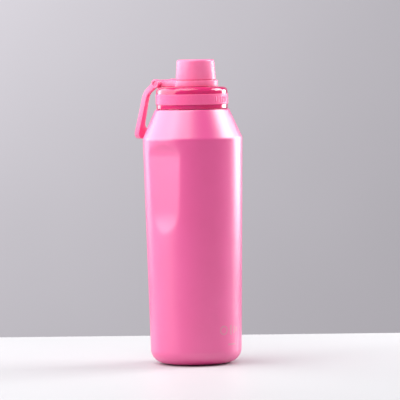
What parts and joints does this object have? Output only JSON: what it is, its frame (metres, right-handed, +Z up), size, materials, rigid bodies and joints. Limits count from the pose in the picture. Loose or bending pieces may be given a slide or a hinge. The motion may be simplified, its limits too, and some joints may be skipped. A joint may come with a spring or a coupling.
{
  "type": "shaker bottle",
  "caption": "Double-wall steel shaker bottle with a conical shoulder, a clear screw lid, a tethered screw cap on a spout and a hanging carry loop.",
  "frame": {"origin": "centre of the base, on the surface that the bottle stands on", "axes": "+Z up along the bottle's axis; the lid's hinge is on the +Y side and its pin lies along X; the thumb dents face +X and -X"},
  "size_m": [0.09, 0.0978, 0.2747],
  "materials": {
    "powder_coat": "satin powder coat",
    "steel": "brushed",
    "copper": "bright",
    "getter_metal": "dull",
    "foot_silicone": "matt",
    "clear_plastic": "clear tinted",
    "band_rubber": "smooth",
    "silicone": "smooth",
    "pink_plastic": "satin",
    "white_plastic": "satin"
  },
  "bodies": {
    "vessel": {"outer_shell": "powder_coat", "base_plate": "steel", "foot_pad": "foot_silicone", "inner_vessel": "steel", "radiation_shield": "copper", "getter": "getter_metal", "vacuum_plug": "steel"},
    "gasket": {"lid_gasket": "silicone"},
    "lid": {"lid_body": "clear_plastic", "grip_band": "band_rubber", "mixing_grid": "white_plastic", "hinge_bracket": "pink_plastic", "hinge_pin": "pink_plastic", "hinge_washers": "white_plastic"},
    "loop": {"carry_loop": "pink_plastic"},
    "tether": {"tether": "pink_plastic"},
    "seal": {"cap_seal": "silicone"},
    "cap": {"cap_shell": "pink_plastic", "cap_insert": "pink_plastic", "cap_retainer": "white_plastic"}
  },
  "joints": [
    {"name": "lid_lift", "type": "slide", "parent": "vessel", "child": "gasket", "axis": [0, 0, 1], "range_m": [0, 0.018]},
    {"name": "lid_turn", "type": "hinge", "parent": "gasket", "child": "lid", "pos_m": [0, 0, 0.24], "axis": [0, 0, 1], "range_deg": [0, 1080]},
    {"name": "cap_flip", "type": "hinge", "parent": "lid", "child": "tether", "pos_m": [0, 0.0315, 0.25325], "axis": [-1, 0, 0], "range_deg": [0, 100]},
    {"name": "cap_rise", "type": "slide", "parent": "tether", "child": "seal", "axis": [0, 0, 1], "range_m": [0, 0.003]},
    {"name": "cap_turn", "type": "hinge", "parent": "seal", "child": "cap", "pos_m": [0, -0.0048, 0.26], "axis": [0, 0, 1], "range_deg": [0, 270]},
    {"name": "loop_swing", "type": "hinge", "parent": "lid", "child": "loop", "pos_m": [0, 0.0315, 0.25325], "axis": [1, 0, 0], "range_deg": [0, 75]}
  ],
  "couplings": [
    {"joint": "lid_lift", "follows": "lid_turn", "m_per_rad": 0.00095493},
    {"joint": "cap_rise", "follows": "cap_turn", "m_per_rad": 0.00063662}
  ]
}
